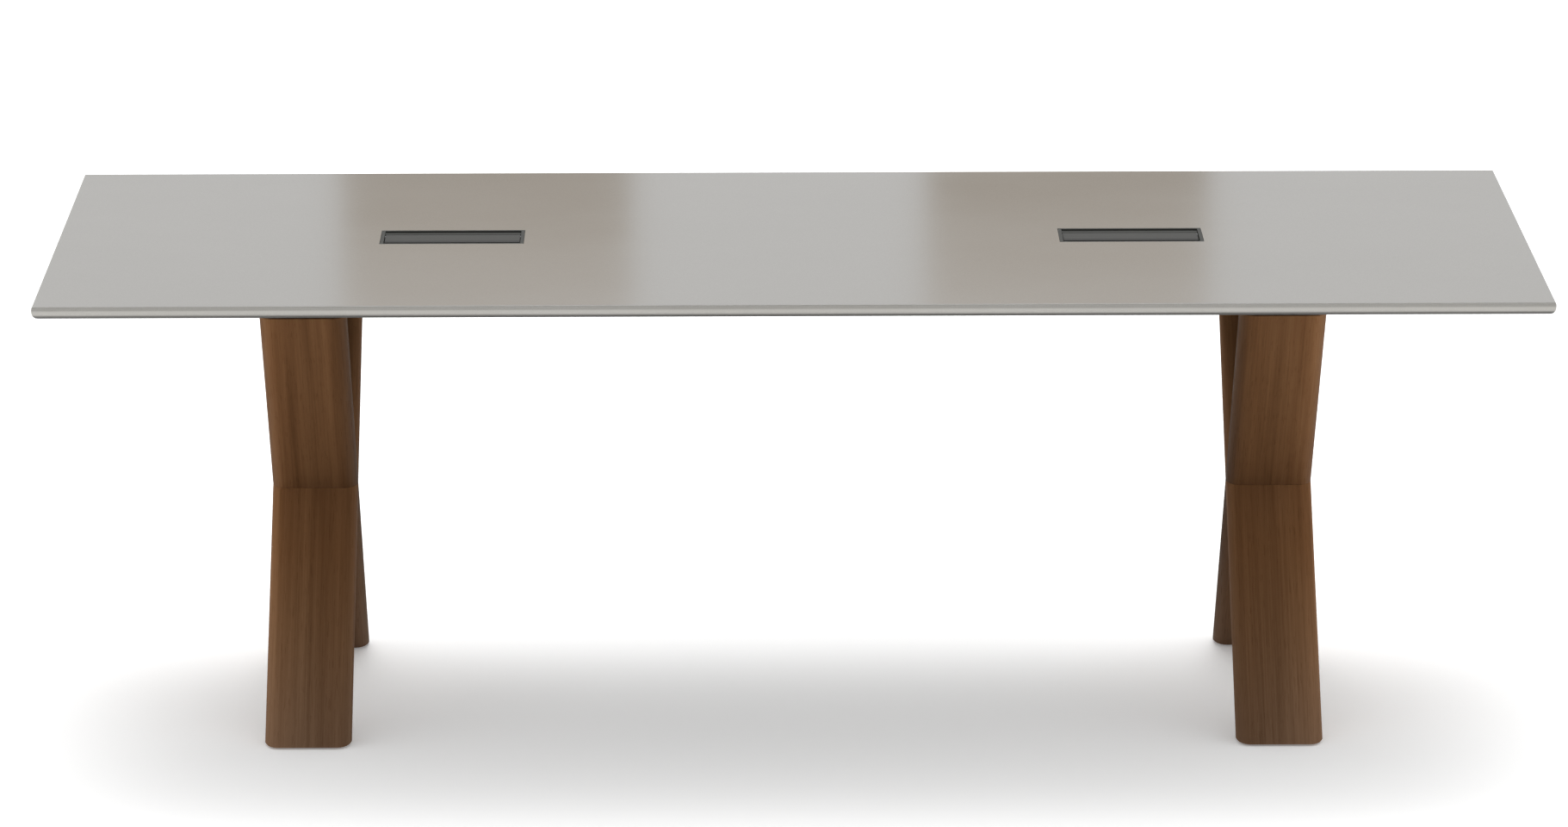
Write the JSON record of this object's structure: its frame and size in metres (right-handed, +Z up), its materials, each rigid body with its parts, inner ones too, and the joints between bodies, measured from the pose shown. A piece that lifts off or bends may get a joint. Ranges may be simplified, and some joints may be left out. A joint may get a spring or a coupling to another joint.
{
  "type": "conference table",
  "caption": "Rectangular meeting table with a round-edged pale top, lidded cable ports and crossed walnut beam legs on levelling glides.",
  "frame": {"origin": "on the floor, under the middle of the table top", "axes": "+X along the table's length to the right, +Y from the front to the rear, +Z up"},
  "size_m": [2.4, 1.2, 0.765],
  "materials": {
    "lacquered_top": "pale warm grey satin lacquer on board",
    "walnut": "oiled walnut, straight grain along the beam",
    "beech": "plain turned dowel",
    "dark_aluminium": "dark anodised, satin",
    "grey_aluminium": "grey anodised, fine brushed",
    "black_steel": "black powder coat, fine texture",
    "zinc_steel": "bright zinc plate",
    "brass": "machined",
    "nylon": "moulded, matt"
  },
  "bodies": {
    "table": {"table_top": "lacquered_top", "left_leg_front_foot_beam": "walnut", "left_leg_rear_foot_beam": "walnut", "right_leg_front_foot_beam": "walnut", "right_leg_rear_foot_beam": "walnut", "left_lap_dowel": "beech", "right_lap_dowel": "beech", "left_bearer": "black_steel", "right_bearer": "black_steel", "front_rail": "black_steel", "rear_rail": "black_steel", "front_rail_left_bolt": "zinc_steel", "front_rail_right_bolt": "zinc_steel", "rear_rail_left_bolt": "zinc_steel", "rear_rail_right_bolt": "zinc_steel", "left_bearer_front_screw_1": "zinc_steel", "left_bearer_front_screw_2": "zinc_steel", "left_bearer_rear_screw_1": "zinc_steel", "left_bearer_rear_screw_2": "zinc_steel", "right_bearer_front_screw_1": "zinc_steel", "right_bearer_front_screw_2": "zinc_steel", "right_bearer_rear_screw_1": "zinc_steel", "right_bearer_rear_screw_2": "zinc_steel", "left_top_screw_1": "zinc_steel", "left_top_screw_2": "zinc_steel", "left_top_screw_3": "zinc_steel", "left_top_screw_4": "zinc_steel", "right_top_screw_1": "zinc_steel", "right_top_screw_2": "zinc_steel", "right_top_screw_3": "zinc_steel", "right_top_screw_4": "zinc_steel", "left_port_frame": "dark_aluminium", "right_port_frame": "dark_aluminium", "left_port_hinge_rod": "zinc_steel", "right_port_hinge_rod": "zinc_steel", "left_port_tray": "black_steel", "right_port_tray": "black_steel", "left_tray_front_screw": "zinc_steel", "left_tray_rear_screw": "zinc_steel", "right_tray_front_screw": "zinc_steel", "right_tray_rear_screw": "zinc_steel", "front_left_glide_socket": "brass", "front_right_glide_socket": "brass", "rear_left_glide_socket": "brass", "rear_right_glide_socket": "brass"},
    "left_lid": {"left_port_lid": "grey_aluminium"},
    "right_lid": {"right_port_lid": "grey_aluminium"},
    "front_left_glide": {"front_left_glide_pad": "nylon", "front_left_glide_stem": "zinc_steel"},
    "front_right_glide": {"front_right_glide_pad": "nylon", "front_right_glide_stem": "zinc_steel"},
    "rear_left_glide": {"rear_left_glide_pad": "nylon", "rear_left_glide_stem": "zinc_steel"},
    "rear_right_glide": {"rear_right_glide_pad": "nylon", "rear_right_glide_stem": "zinc_steel"}
  },
  "joints": [
    {"name": "left_lid_hinge", "type": "hinge", "parent": "table", "child": "left_lid", "pos_m": [-0.555, 0.0325, 0.758], "axis": [-1, 0, 0], "range_deg": [0, 100]},
    {"name": "right_lid_hinge", "type": "hinge", "parent": "table", "child": "right_lid", "pos_m": [0.555, 0.0325, 0.758], "axis": [-1, 0, 0], "range_deg": [0, 100]},
    {"name": "front_left_glide_screw", "type": "slide", "parent": "table", "child": "front_left_glide", "axis": [0, 0, -1], "range_m": [0, 0.012]},
    {"name": "front_right_glide_screw", "type": "slide", "parent": "table", "child": "front_right_glide", "axis": [0, 0, -1], "range_m": [0, 0.012]},
    {"name": "rear_left_glide_screw", "type": "slide", "parent": "table", "child": "rear_left_glide", "axis": [0, 0, -1], "range_m": [0, 0.012]},
    {"name": "rear_right_glide_screw", "type": "slide", "parent": "table", "child": "rear_right_glide", "axis": [0, 0, -1], "range_m": [0, 0.012]}
  ]
}
